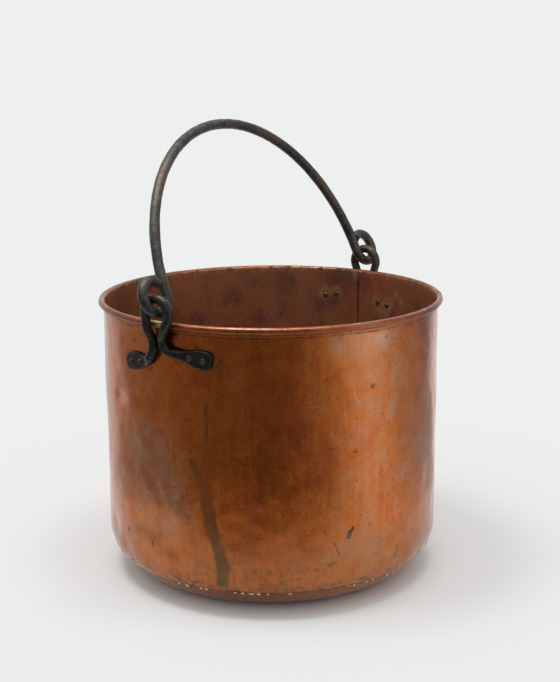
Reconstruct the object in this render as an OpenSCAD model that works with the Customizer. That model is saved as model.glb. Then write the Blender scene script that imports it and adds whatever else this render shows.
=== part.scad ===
// Round copper kettle with a wired rim, two forged iron ears and a swinging iron bail.
// Millimetres. The origin is the middle of the base on the floor, +Z is up, and the
// ears stand on the X axis. The left ear is at -X, and each ear's front foot is at -Y.

/* [Copper pot] */
// Outside diameter of the straight wall
wall_d = 350; // [300:1:420]
// Height from the floor to the top of the rim
pot_h = 292; // [220:1:360]
// Thickness of the copper sheet
sheet = 1.4; // [1:0.1:2]
// Diameter of the flat of the base
base_d = 234; // [190:1:260]
// Height of the curve between the base and the wall
corner_h = 49; // [42:1:65]
// Height above the floor of the wall's lower edge, at the base seam
seam_h = 27; // [20:0.5:32]
// How far the base pan laps up inside the wall above the seam
pan_lap = 9; // [5:0.5:12]
// Width of the upright lap joint inside the wall, behind the right ear
side_lap = 8; // [5:0.5:14]

/* [Wired rim] */
// Diameter of the iron wire that the rim is rolled round
wire_d = 3.8; // [3:0.1:5.5]
// Height of the tucked edge that shows below the bead
lip_h = 2.7; // [1.5:0.1:5]
// Slit between the tucked edge and the wall
lip_slit = 0.1; // [0.05:0.05:0.3]

/* [Ears] */
// Diameter of the ear's round bar
ear_bar_d = 9.3; // [7:0.1:9.5]
// Radius of the ear's bow, to the middle of the bar
bow_r = 14.4; // [13.4:0.1:19]
// How far the ears stand off the pot's middle line, towards +Y
ear_y = -2; // [-4:0.5:4]
// Clearance between the ear's bar and the rim
rim_clear = 0.3; // [0.2:0.1:1.5]
// How far below the rim the legs have come in to the wall
joggle_drop = 21; // [18:0.5:26]
// Width of a flattened foot
foot_w = 18.2; // [13:0.1:22]
// Thickness of a flattened foot
foot_t = 4; // [3:0.1:5]
// Length of the flattened part of a leg, back from its tip
foot_l = 27; // [22:0.5:32]
// Length of the change from round bar to flat foot
neck_l = 12; // [8:0.5:16]
// Downward slope of the feet
foot_slope = 8; // [0:0.5:14]
// Distance from the last rivet to the tip of the foot
foot_margin = 8.7; // [7:0.1:12]
// Radius of the corners at the tip of the foot
foot_corner = 5.8; // [2:0.1:6]

/* [Left ear] */
// Drop of the front foot's middle below the rim top
left_front_drop = 32.4; // [29:0.1:45]
// Drop of the back foot's middle below the rim top
left_back_drop = 43.4; // [38:0.1:52]
// Distance of the front leg's waist from the ear's middle
left_front_waist = 1.8; // [0:0.1:7]
// Distance of the back leg's waist from the ear's middle
left_back_waist = 10; // [5.5:0.1:12]
// Radius of the front leg's bend into its foot
left_front_bend = 10; // [8:0.1:11]
// Radius of the back leg's bend into its foot
left_back_bend = 19; // [12:0.1:20]
// Distance round the wall from the ear's middle to the front foot's first rivet
left_front_rivet = 29.9; // [28:0.1:38]
// Distance round the wall from the ear's middle to the back foot's first rivet
left_back_rivet = 29.1; // [26:0.1:38]

/* [Right ear] */
// Drop of the front foot's middle below the rim top
right_front_drop = 36; // [31:0.1:45]
// Drop of the back foot's middle below the rim top
right_back_drop = 32; // [29:0.1:45]
// Distance of the front leg's waist from the ear's middle
right_front_waist = 6; // [5.5:0.1:12]
// Distance of the back leg's waist from the ear's middle
right_back_waist = 6; // [0:0.1:7]
// Radius of the front leg's bend into its foot
right_front_bend = 11; // [8:0.1:13]
// Radius of the back leg's bend into its foot
right_back_bend = 10; // [8:0.1:11]
// Distance round the wall from the ear's middle to the front foot's first rivet
right_front_rivet = 26; // [25:0.1:38]
// Distance round the wall from the ear's middle to the back foot's first rivet
right_back_rivet = 30.9; // [28:0.1:38]

/* [Rivets] */
// Diameter of a rivet's shank
rivet_d = 4.4; // [3:0.1:5.5]
// Diameter of a rivet's heads
head_d = 6.4; // [6:0.1:8]
// Height of a rivet's domed heads
head_h = 1.7; // [1:0.1:2.5]
// Distance between the two rivets of a foot
rivet_pitch = 13.8; // [12:0.1:16]

/* [Bail] */
// Diameter of the bail's rod
bail_d = 10.8; // [8:0.1:11.5]
// Diameter of the rod round the eyes, where it is drawn out a little
eye_d = 10.6; // [7.5:0.1:11]
// Radius of the left eye, to the middle of the rod
left_eye_r = 15.8; // [15.2:0.1:20]
// Radius of the right eye, to the middle of the rod
right_eye_r = 16.4; // [15.5:0.1:20]
// Height of the middle of the rod above the hinge line at the top of the arch
bail_rise = 178.8; // [150:0.1:230]
// Clearance between the underside of the eyes and the rim
eye_clear = 3.5; // [2:0.1:8]
// Gap between an eye and the bow that it hangs in
link_gap = 0.3; // [0.2:0.1:1]
// Gap between the curled tip of an eye and the shank beside it
tip_gap = 0.5; // [0.3:0.1:2]
// Lean of the bail away from upright, towards +Y
bail_lean = 23; // [-60:1:60]

/* [Hidden] */

$fn = 96;
copper = [0.66, 0.36, 0.19];
old_copper = [0.58, 0.33, 0.18];
iron = [0.17, 0.16, 0.15];
wire_iron = [0.35, 0.33, 0.31];

wall_r = wall_d/2;
base_r = base_d/2;
bead_r = wire_d/2 + sheet;
bead_mid_r = wall_r - sheet + bead_r;
rim_r = bead_mid_r + bead_r;
fit = 0.02;
seat = 0.1;
lap_step = 0.5;

hinge_z = pot_h + eye_clear + eye_d/2;
bow_x = rim_r + rim_clear + ear_bar_d/2;

// The curve between base and wall is a quarter of an ellipse. The angle is 0 at the
// wall and 90 at the flat of the base, and skin is how far the curve lies outside
// the base pan's outer face.
corner_a = wall_r - sheet - base_r;
function corner_pt(angle, skin) = [
    base_r + (corner_a + skin)*cos(angle),
    corner_h - (corner_h + skin)*sin(angle)
];
function corner_angle(height) = asin((corner_h - height)/corner_h);
function steps(from, to, n) = [for (i = [0:n]) from + (to - from)*i/n];

lap_angle = corner_angle(seam_h + pan_lap);
seam_angle = corner_angle(seam_h);
lap_steps = steps(lap_angle, seam_angle, 4);
wall_steps = steps(0, lap_angle, 4);
base_steps = steps(seam_angle, 90, 18);
function backwards(list) = [for (i = [len(list) - 1:-1:0]) list[i]];

// The sheet is rolled outward round the wire, and its edge is tucked in below the
// bead and turned down on the wall.
module rim_section() {
    tuck_end = 60;
    difference() {
        circle(bead_r);
        circle(wire_d/2 + fit);
        polygon([
            [0, 0], [-2*bead_r, 0], [-2*bead_r, -2*bead_r],
            2*bead_r*[-cos(tuck_end), -sin(tuck_end)]
        ]);
    }
    translate([-wire_d/2 + lip_slit, -bead_r - lip_h])
        square([sheet, bead_r + lip_h - wire_d/2]);
}

module pot_body_section() {
    angles = concat(wall_steps, [for (i = [1:len(lap_steps) - 1]) lap_steps[i]]);
    polygon(concat(
        [for (a = angles) corner_pt(a, sheet)],
        [for (a = backwards(angles)) corner_pt(a, 0)],
        [[wall_r - sheet, pot_h - bead_r], [wall_r, pot_h - bead_r]]
    ));
    translate([bead_mid_r, pot_h - bead_r]) rim_section();
}

// The sheet's end laps inside the wall, from the base pan's edge to the rim
module side_lap_section() {
    angles = steps(0, lap_angle - lap_step, 4);
    polygon(concat(
        [for (a = angles) corner_pt(a, sheet/2)],
        [for (a = backwards(angles)) corner_pt(a, -sheet)],
        [[wall_r - 2*sheet, pot_h - 2*bead_r], [wall_r - sheet/2, pot_h - 2*bead_r]]
    ));
}

// Every foot is one row: its side along Y, then the drop of its middle, the waist of
// its leg, the radius of its bend and the arc from the ear's middle to its first rivet.
left_feet = [
    [-1, left_front_drop, left_front_waist, left_front_bend, left_front_rivet],
    [1, left_back_drop, left_back_waist, left_back_bend, left_back_rivet]
];
right_feet = [
    [-1, right_front_drop, right_front_waist, right_front_bend, right_front_rivet],
    [1, right_back_drop, right_back_waist, right_back_bend, right_back_rivet]
];

// Height of a foot's middle line, above the rim top, at a distance s from the ear's middle
function foot_z(foot, s) = -foot[1] - tan(foot_slope)*(s - foot[4] - rivet_pitch/2);
function arc_angle(s) = s/wall_r*180/PI;

// Puts its children where the rivets of an ear go, with +Z pointing away from the pot
module at_rivets(feet) {
    for (foot = feet, s = [foot[4], foot[4] + rivet_pitch])
        translate([0, 0, pot_h + foot_z(foot, s)])
            rotate([0, 90, arc_angle(ear_y + foot[0]*s)])
                children();
}

module rivet_holes(feet) {
    at_rivets(feet)
        translate([0, 0, wall_r - 3*sheet])
            cylinder(d = rivet_d + 2*fit, h = 3*sheet + 2*foot_t);
}

module pot_body() {
    color(copper)
        difference() {
            union() {
                rotate_extrude() pot_body_section();
                rotate_extrude(angle = arc_angle(side_lap)) side_lap_section();
            }
            rivet_holes(right_feet);
            mirror([1, 0, 0]) rivet_holes(left_feet);
        }
}

module base_pan() {
    angles = concat(lap_steps, [for (i = [1:len(base_steps) - 1]) base_steps[i]]);
    color(old_copper)
        rotate_extrude()
            polygon(concat(
                [for (a = angles) corner_pt(a, 0)],
                [[0, 0], [0, sheet]],
                [for (a = backwards(angles)) corner_pt(a, -sheet)]
            ));
}

module rim_wire() {
    color(wire_iron)
        rotate_extrude()
            translate([bead_mid_r, pot_h - bead_r])
                circle(d = wire_d);
}

// An ear's leg runs in the plane of distance s and height z. It leaves the bow on a
// straight line, turns outward round its bend and ends in the foot.
bow_mid = [0, hinge_z - pot_h];
function bend_mid(foot) = let (s = foot[2] + foot[3])
    [s, foot_z(foot, s) + foot[3]/cos(foot_slope)];
function leave_angle(foot) = let (to = bend_mid(foot) - bow_mid)
    atan2(to.y, to.x) + acos((bow_r + foot[3])/norm(to));
function round_pt(mid, r, angle) = mid + r*[cos(angle), sin(angle)];

leg_sink = 4;
function leg_path(foot) = let (
    mid = bend_mid(foot),
    a = leave_angle(foot),
    top = round_pt(bow_mid, bow_r, a),
    low = round_pt(mid, foot[3], a + 180),
    heel = round_pt(mid, foot[3], 270 - foot_slope),
    tip_s = foot[4] + rivet_pitch + foot_margin,
    tip = [tip_s, foot_z(foot, tip_s)],
    run = norm(tip - heel),
    turns = ceil((90 - foot_slope - a)/14)
) concat(
    [round_pt(bow_mid, bow_r, a + leg_sink)],
    [for (i = [0:5]) top + (low - top)*i/6],
    [for (i = [0:turns]) round_pt(mid, foot[3], a + 180 + (90 - foot_slope - a)*i/turns)],
    [for (i = [1:7]) heel + (tip - heel)*(1 - foot_corner/run)*i/7],
    [for (b = [20:17.5:90]) tip - (tip - heel)*(foot_corner/run)*(1 - sin(b))]
);

// Distances back from the tip, along the path
function from_tip(path, i) = i == len(path) - 1 ? 0
    : norm(path[i + 1] - path[i]) + from_tip(path, i + 1);

function ease(x) = let (c = min(1, max(0, x))) c*c*(3 - 2*c);
function flat_part(u) = 1 - ease((u - foot_l)/neck_l);
function leg_t(u) = ear_bar_d + (foot_t - ear_bar_d)*flat_part(u);
function leg_w(u) = ear_bar_d + (foot_w - ear_bar_d)*(1 - ease((u - foot_l/2)/(foot_l/2 + neck_l/2)))
    - 2*(foot_corner - sqrt(pow(foot_corner, 2) - pow(max(0, foot_corner - u), 2)));
// Corners of the section go from round to nearly square as the bar flattens
function leg_power(u) = 1 - 0.42*flat_part(u);

joggle_top = 3;
function joggle(z) = ease((-z - joggle_top)/(joggle_drop - joggle_top));
function leg_place(p, u, mid_y) = let (
    in = joggle(p.y),
    r = wall_r + seat + leg_t(u)/2,
    angle = arc_angle(mid_y + p.x)
) [
    (1 - in)*bow_x + in*r*cos(angle),
    (1 - in)*(mid_y + p.x) + in*r*sin(angle),
    pot_h + p.y
];

function unit(v) = v/norm(v);
function signed_power(x, p) = sign(x)*pow(abs(x), p);
leg_sides = 16;
// The first two rings stay just inside the bow's end, so that the leg grows out of it
function leg_ring(at, along, u, i) = let (
    out0 = unit([at.x, at.y, 0]),
    out = unit(out0 - (out0*along)*along),
    side = cross(along, out),
    k = i < 2 ? 0.97 : 1,
    w = k*leg_w(u)/2,
    t = k*leg_t(u)/2
) [
    for (j = [0:leg_sides - 1]) let (a = 360*j/leg_sides)
        at + w*signed_power(cos(a), leg_power(u))*side + t*signed_power(sin(a), leg_power(u))*out
];

module leg(foot) {
    path = leg_path(foot);
    n = len(path);
    us = [for (i = [0:n - 1]) from_tip(path, i)];
    places = [for (i = [0:n - 1]) leg_place(path[i], us[i], foot[0]*ear_y)];
    rings = [
        for (i = [0:n - 1]) let (
            along = unit(places[min(i + 1, n - 1)] - places[max(i - 1, 0)])
        ) each leg_ring(places[i], along, us[i], i)
    ];
    m = leg_sides;
    polyhedron(rings, concat(
        [[for (j = [m - 1:-1:0]) j]],
        [
            for (i = [0:n - 2], j = [0:m - 1]) let (
                a = i*m + j,
                b = i*m + (j + 1)%m
            ) each [[a, b, a + m], [b, b + m, a + m]]
        ],
        [[for (j = [0:m - 1]) (n - 1)*m + j]]
    ));
}

module ear(feet) {
    difference() {
        union() {
            // The bow is round about the hinge line, which runs along X
            translate([bow_x, ear_y, hinge_z])
                rotate([0, 90, 0])
                    rotate([0, 0, 90 + leave_angle(feet[1])])
                        rotate_extrude(angle = 180 - leave_angle(feet[0]) - leave_angle(feet[1]))
                            translate([bow_r, 0])
                                circle(d = ear_bar_d);
            for (foot = feet)
                mirror([0, foot[0] < 0 ? 1 : 0, 0]) leg(foot);
        }
        rivet_holes(feet);
    }
}

module left_ear() {
    color(iron) mirror([1, 0, 0]) ear(left_feet);
}

module right_ear() {
    color(iron) ear(right_feet);
}

// A low dome on the plane z = 0
module rivet_head() {
    ball_r = (pow(head_d/2, 2) + pow(head_h, 2))/(2*head_h);
    intersection() {
        translate([0, 0, head_h - ball_r]) sphere(ball_r);
        cylinder(d = head_d + 1, h = head_h + 1);
    }
}

module rivets(feet) {
    foot_face = wall_r + seat + foot_t + fit;
    // The inner head is flat, so it bears on the round wall at its two edges
    wall_face = sqrt(pow(wall_r - sheet, 2) - pow(head_d/2, 2)) - fit;
    at_rivets(feet) {
        translate([0, 0, wall_face])
            cylinder(d = rivet_d, h = foot_face - wall_face);
        translate([0, 0, foot_face]) rivet_head();
        translate([0, 0, wall_face]) mirror([0, 0, 1]) rivet_head();
    }
}

module left_ear_rivets() {
    color(old_copper) mirror([1, 0, 0]) rivets(left_feet);
}

module right_ear_rivets() {
    color(old_copper) rivets(right_feet);
}

// The bail hangs to the right, with the left bow at the outside of the left eye and
// the right bow at the inside of the right eye.
left_eye_x = bow_x + ear_bar_d/2 + link_gap - (left_eye_r - eye_d/2);
right_eye_x = bow_x - ear_bar_d/2 - link_gap + (right_eye_r - bail_d/2);

// The arch is one round arc that runs into the outward curl of both eyes. It is drawn
// in the XY plane, with its middle on the Y axis and the hinge line on the X axis.
arch_x = (right_eye_x - left_eye_x)/2
    - bail_rise*(right_eye_r - left_eye_r)/(right_eye_x + left_eye_x);
arch_mid = right_eye_r + bail_rise/2 - pow(right_eye_x - arch_x, 2)/(2*bail_rise);
arch_r = bail_rise - arch_mid;
function eye_angle(r, x) = atan2(r - arch_mid, x);
// The eye's rod starts inside the end of the arch, and tip_low keeps the cut above it
eye_sink = 3;
tip_stop = 35;
tip_face = 4;
tip_low = 2.5;

module rod_arc(r, from, to, d) {
    rotate([0, 0, from])
        rotate_extrude(angle = to - from)
            translate([r, 0])
                circle(d = d);
}

// An eye of radius r, at x from the middle of the arch
module eye(r, x) {
    a = eye_angle(r, x);
    difference() {
        translate([x, r]) rod_arc(r, 180 + a - eye_sink, 540 + a - tip_stop, eye_d);
        // The tip is cut off flat where it meets the shank
        translate([0, arch_mid])
            rotate([0, 0, a + tip_face])
                translate([0, tip_low - arch_r*sin(tip_face), -bail_d])
                    cube([arch_r + bail_d/2 + tip_gap, 2*r, 2*bail_d]);
    }
}

module bail_handle() {
    right_x = right_eye_x - arch_x;
    left_x = left_eye_x + arch_x;
    color(iron)
        translate([arch_x, ear_y, hinge_z])
            rotate([90 - bail_lean, 0, 0]) {
                translate([0, arch_mid])
                    rod_arc(
                        arch_r,
                        eye_angle(right_eye_r, right_x),
                        180 - eye_angle(left_eye_r, left_x),
                        bail_d
                    );
                eye(right_eye_r, right_x);
                mirror([1, 0, 0]) eye(left_eye_r, left_x);
            }
}

pot_body();
base_pan();
rim_wire();
left_ear();
right_ear();
left_ear_rivets();
right_ear_rivets();
bail_handle();
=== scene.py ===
"""Looks of the copper pot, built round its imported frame.

Metres, +Z up, the floor at z = 0 and the ears on the X axis, as in the frame.
"""

import math

import bpy
import bmesh
import numpy as np
from mathutils import Matrix, Vector


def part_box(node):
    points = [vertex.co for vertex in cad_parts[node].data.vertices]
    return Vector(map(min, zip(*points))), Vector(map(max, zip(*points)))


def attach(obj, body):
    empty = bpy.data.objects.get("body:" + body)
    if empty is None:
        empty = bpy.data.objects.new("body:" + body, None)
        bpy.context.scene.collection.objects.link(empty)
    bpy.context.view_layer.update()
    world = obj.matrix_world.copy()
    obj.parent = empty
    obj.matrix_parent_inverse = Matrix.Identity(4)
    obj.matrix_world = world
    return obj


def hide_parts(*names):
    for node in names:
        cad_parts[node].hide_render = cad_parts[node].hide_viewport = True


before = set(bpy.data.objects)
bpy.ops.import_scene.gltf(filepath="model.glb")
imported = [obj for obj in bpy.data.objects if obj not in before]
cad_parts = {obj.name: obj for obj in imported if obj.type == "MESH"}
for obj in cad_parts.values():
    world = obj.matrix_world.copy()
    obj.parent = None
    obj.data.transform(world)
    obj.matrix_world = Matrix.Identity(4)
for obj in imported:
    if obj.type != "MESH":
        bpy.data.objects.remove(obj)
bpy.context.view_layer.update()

# Sizes of the pot, as the frame has them
RIM_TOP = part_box("pot_body")[1].z
RIM_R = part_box("pot_body")[1].x
SHEET = 0.0014
BEAD_R = 0.0033
WALL_R = RIM_R - 2 * BEAD_R + SHEET
BASE_R = 0.117
CORNER_H = 0.049
CORNER_A = WALL_R - SHEET - BASE_R
SEAM_H = 0.027
PAN_LAP = 0.009
SIDE_LAP = 0.008
LIP_H = 0.0027
EAR_Y = -0.002
BEAD_MID = (RIM_R - BEAD_R, RIM_TOP - BEAD_R)
LIP_LOW = RIM_TOP - 2 * BEAD_R - LIP_H

TURN = 2 * math.pi
# Tables of marks and dents give their sizes in millimetres, where they don't say metres
MM = 0.001

# Columns of points round the pot
WALL_COLUMNS = 480
BASE_COLUMNS = 360
SOLDER_COLUMNS = 1440


def srgb(red, green, blue):
    """Linear colour of an 8-bit screen colour."""
    parts = [c / 255 for c in (red, green, blue)]
    return [c / 12.92 if c < 0.04045 else ((c + 0.055) / 1.055) ** 2.4 for c in parts]


def smooth(x):
    """0 below 0, 1 above 1, and smooth between."""
    c = np.clip(x, 0.0, 1.0)
    return c * c * (3 - 2 * c)


def waves(points, size, seed, count=28):
    """A smooth random field of about unit strength, with bumps about one size across."""
    rng = np.random.default_rng(seed)
    ways = rng.normal(size=(count, 3))
    ways /= np.linalg.norm(ways, axis=1)[:, None]
    rates = TURN / size * rng.uniform(0.6, 1.6, count)
    phases = rng.uniform(0, TURN, count)
    return np.cos(points @ (ways * rates[:, None]).T + phases).sum(1) * math.sqrt(2 / count)


# Camera

CAMERA_AT = Vector((-1.07354, -0.77997, 0.54033))
CAMERA_RIGHT = Vector((0.580863, -0.813977, -0.006274))
CAMERA_UP = Vector((0.183392, 0.123354, 0.975270))
LENS_MM = 67.59


def make_camera():
    data = bpy.data.cameras.new("camera")
    data.lens = LENS_MM
    data.sensor_width = 36
    camera = bpy.data.objects.new("camera", data)
    bpy.context.scene.collection.objects.link(camera)
    back = CAMERA_RIGHT.cross(CAMERA_UP)
    turn = Matrix((CAMERA_RIGHT, CAMERA_UP, back)).transposed()
    camera.matrix_world = Matrix.Translation(CAMERA_AT) @ turn.to_4x4()
    bpy.context.scene.camera = camera
    bpy.context.scene.view_settings.view_transform = "Standard"


# Node building


class Nodes:
    """Builds a node tree, node by node; at is the place or the direction that it shades."""

    def __init__(self, tree, coordinates):
        self.tree = tree
        self.at = self.node("ShaderNodeTexCoord").outputs[coordinates]

    def node(self, kind, **settings):
        made = self.tree.nodes.new(kind)
        for name, value in settings.items():
            setattr(made, name, value)
        return made

    def put(self, node, inputs):
        """Sets or links inputs of a node."""
        for name, value in inputs.items():
            socket = node.inputs[name]
            if isinstance(value, bpy.types.NodeSocket):
                self.tree.links.new(value, socket)
            else:
                socket.default_value = (*value, 1) if socket.type == "RGBA" else value

    def get(self, output, kind, inputs, **settings):
        """An output of a new node."""
        made = self.node(kind, **settings)
        self.put(made, inputs)
        return made.outputs[output]

    def noise(self, scale, detail, rough, at=None, twist=0.0):
        inputs = dict(Vector=at or self.at, Scale=scale, Detail=detail, Roughness=rough, Distortion=twist)
        return self.get("Fac", "ShaderNodeTexNoise", inputs)

    def stretched(self, x, y, z, shift=0.0):
        """The object's coordinates, scaled along each axis."""
        inputs = dict(Vector=self.at, Scale=(x, y, z), Location=(shift, shift, shift))
        return self.get("Vector", "ShaderNodeMapping", inputs)

    def shifted(self, shift):
        return self.stretched(1, 1, 1, shift)

    def cells(self, scale, at):
        return self.get("Distance", "ShaderNodeTexVoronoi", dict(Vector=at, Scale=scale))

    def along(self, direction):
        """How far the place lies in a direction."""
        inputs = {0: self.at, 1: direction}
        return self.get("Value", "ShaderNodeVectorMath", inputs, operation="DOT_PRODUCT")

    def math(self, kind, a, b=0.0):
        return self.get(0, "ShaderNodeMath", {0: a, 1: b}, operation=kind)

    def times(self, a, b):
        return self.math("MULTIPLY", a, b)

    def minus(self, a, b):
        return self.math("SUBTRACT", a, b)

    def total(self, *values):
        """The sum of several values."""
        added = values[0]
        for value in values[1:]:
            added = self.math("ADD", added, value)
        return added

    def most(self, values):
        """The largest of several values."""
        best = values[0]
        for value in values[1:]:
            best = self.math("MAXIMUM", best, value)
        return best

    def span(self, value, low, high, to_low=0.0, to_high=1.0):
        """Goes smoothly from one value to another as the input goes from low to high."""
        names = ("Value", "From Min", "From Max", "To Min", "To Max")
        inputs = dict(zip(names, (value, low, high, to_low, to_high)))
        return self.get("Result", "ShaderNodeMapRange", inputs, interpolation_type="SMOOTHSTEP")

    def ramp(self, value, stops):
        made = self.node("ShaderNodeValToRGB")
        self.put(made, dict(Fac=value))
        bar = made.color_ramp.elements
        while len(bar) < len(stops):
            bar.new(0.5)
        for mark, (place, colour) in zip(bar, stops):
            mark.position = place
            mark.color = (*colour, 1)
        return made.outputs["Color"]

    def mix(self, share, a, b):
        return self.get(2, "ShaderNodeMix", {"Factor": share, 6: a, 7: b}, data_type="RGBA")

    def glow(self, colour):
        return self.get(0, "ShaderNodeEmission", dict(Color=colour))

    def blend(self, share, a, b):
        """One shader, and a share of another over it."""
        return self.get(0, "ShaderNodeMixShader", {0: share, 1: a, 2: b})


class Shade(Nodes):
    """One material."""

    def __init__(self, name):
        self.material = bpy.data.materials.new(name)
        self.material.use_nodes = True
        super().__init__(self.material.node_tree, "Object")
        self.surface = self.tree.nodes["Principled BSDF"]
        self.colour = None

    def paint(self, mask, share, colour):
        """Covers a share of the colour where the mask is 1."""
        self.colour = self.mix(self.times(mask, share), self.colour, colour)

    def done(self, **values):
        """The finished material; an underscore in the name of an input stands for a space."""
        self.put(self.surface, {name.replace("_", " "): value for name, value in values.items()})
        self.put(self.surface, {"Base Color": self.colour})
        return self.material

    def field(self, name):
        """A value stored on the mesh's points."""
        return self.get("Fac", "ShaderNodeAttribute", {}, attribute_name=name)

    def stream(self, along, across, places, soft):
        """1 on a line, else 0; its places are along, across and half width, from low to high."""
        first, last = places[0][0], places[-1][0]
        share = self.math("DIVIDE", self.minus(along, first), last - first)
        stops = [((place[0] - first) / (last - first), place) for place in places]
        middle = self.ramp(share, [(stop, (place[1],) * 3) for stop, place in stops])
        half = self.ramp(share, [(stop, (place[2],) * 3) for stop, place in stops])
        off = self.math("ABSOLUTE", self.minus(across, middle))
        near = self.span(self.minus(off, half), 0.0, soft, 1.0, 0.0)
        begun = self.span(share, -0.01, 0.03)
        return self.times(near, self.times(begun, self.span(share, 0.97, 1.01, 1.0, 0.0)))

    def bump(self, height, strength, depth):
        inputs = dict(Height=height, Strength=strength, Distance=depth)
        self.put(self.surface, dict(Normal=self.get("Normal", "ShaderNodeBump", inputs)))


# Materials

# Stains that ran down the wall: azimuth in degrees, height and half width, from the foot up
SMALL_DRIP = [
    (-164.8, 173, 1.8), (-164.8, 176.5, 2.2), (-164.7, 181, 1.1), (-164.7, 192, 0.8), (-164.7, 218, 0.6),
]
MAIN_DRIP = [
    (-160.8, 30, 3), (-160.4, 40, 4.4), (-159.7, 53, 4.8), (-161, 67, 3.8),
    (-162.5, 81, 4), (-163.6, 93, 4.4), (-164.6, 110, 5.6), (-165.4, 123, 4.2),
    (-166.9, 138, 3.6), (-168.2, 149, 2.8), (-169.9, 157, 2.8), (-170.4, 163, 1),
]
# A green spot with a dark middle, as the stains are given
GREEN_SPOT = [(-119.5, 78.5, 1.2), (-118.6, 84, 2.4), (-117.5, 90, 1)]
GREEN_CORE = [(-118.6, 83.5, 0.4), (-118, 87, 0.8), (-117.6, 89.5, 0.4)]
# Dark creases and lines, painted shade in the creases, as the scratches are given
STEEP_SHADED_CREASES = [
    [(-122.2, 62, 0.3), (-124.2, 77, 0.5)],
    [(-99.8, 44, 0.3), (-98.6, 58, 0.5)],
    [(-112.1, 156, 0.2), (-108.8, 164, 0.4)],
    [(158.2, 60, 0.4), (159.4, 70, 1)],
    [(173, 60, 0.3), (173.4, 69, 0.7)],
]
LEVEL_SHADED_CREASES = [
    [(164.2, 97, 0.3), (167.7, 92, 0.3)],
    [(-125.8, 171.5, 0.5), (-122.6, 173.5, 0.3)],
]
# Scratches: azimuth in degrees, height and half width, along the height or round the wall
STEEP_SCRATCHES = [
    [(-114.9, 209, 0.2), (-116.2, 217, 1.1), (-117.7, 226, 0.3)],
    [(175.3, 80, 0.3), (178.2, 86, 0.3)],
]
LEVEL_SCRATCHES = [
    [(-135.4, 214.5, 0.1), (-131, 213.5, 0.1), (-127.3, 213, 0.1)],
]
# Halos round the rivets inside, with painted shadow rings round the heads in them: azimuth, height and
# radius
INNER_HALOS = [(13.9, 260, 7), (9.7, 262, 6), (-8.9, 257, 6), (-14.6, 257, 8)]
RIVET_SHADOW_RINGS = [(degrees, height, 3.6) for degrees, height, _ in INNER_HALOS]
# A bare brass-coloured spot on the bead, in metres
BRASS_SPOT = (179.4, RIM_TOP - 0.0036, 0.0050)
# Dark spots: azimuth in degrees, height and radius
DARK_SPOTS = [
    (166.6, 213, 1), (167, 268, 2.4), (173.2, 200, 0.9), (171.3, 184, 0.9),
    (163.2, 173, 0.9), (171.7, 120, 1.2), (158.9, 66, 2), (173.2, 65, 1.6),
    (-171.7, 231, 1.6), (-171.6, 198, 1.2), (-168, 186, 1), (-168.7, 128, 1.2),
    (-156.5, 253, 1.6), (-150.1, 206, 1.1), (-148.9, 236, 1.5), (-151.9, 140, 1),
    (-148.7, 85, 1.1), (-145.5, 186, 1), (-141, 159, 1.2), (-141.5, 97, 1),
    (-138.1, 211, 1), (-137.8, 156, 1.2), (-139.2, 118, 1.2), (-131.9, 256, 1),
    (-126.8, 240, 1), (-126.5, 188, 1.7), (-125.6, 172, 1.9), (-128.6, 122, 1),
    (-127.6, 88, 1.2), (-116.6, 166, 1.9), (-116.5, 137, 1.2), (-110.6, 228, 2.6),
    (-105, 274, 1.4), (-103.1, 188, 1.2), (-99.5, 231, 1.3), (-97.6, 89, 1.4),
    (-99, 46, 1.4), (-92, 186, 1.2), (-90.8, 66, 1.3), (-75, 68, 1.4),
]


def way_round(degrees):
    """Distance round the wall from +X, anticlockwise from above."""
    return math.radians(degrees % 360) * WALL_R


# The sheet's colours, from brown to pale: outside, on the bead and inside
OUTER = [
    (0.0, (0.32, 0.064, 0.004)),
    (0.3, (0.47, 0.106, 0.009)),
    (0.5, (0.53, 0.142, 0.022)),
    (0.75, (0.51, 0.200, 0.084)),
    (1.0, (0.52, 0.272, 0.162)),
]
RIM = [(0.2, (0.17, 0.052, 0.018)), (0.5, (0.31, 0.082, 0.028)), (0.9, (0.26, 0.146, 0.105))]
INNER = [
    (0.10, (0.21, 0.105, 0.062)),
    (0.35, (0.37, 0.170, 0.086)),
    (0.52, (0.43, 0.170, 0.078)),
    (0.68, (0.34, 0.098, 0.058)),
    (0.90, (0.22, 0.090, 0.082)),
]


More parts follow.
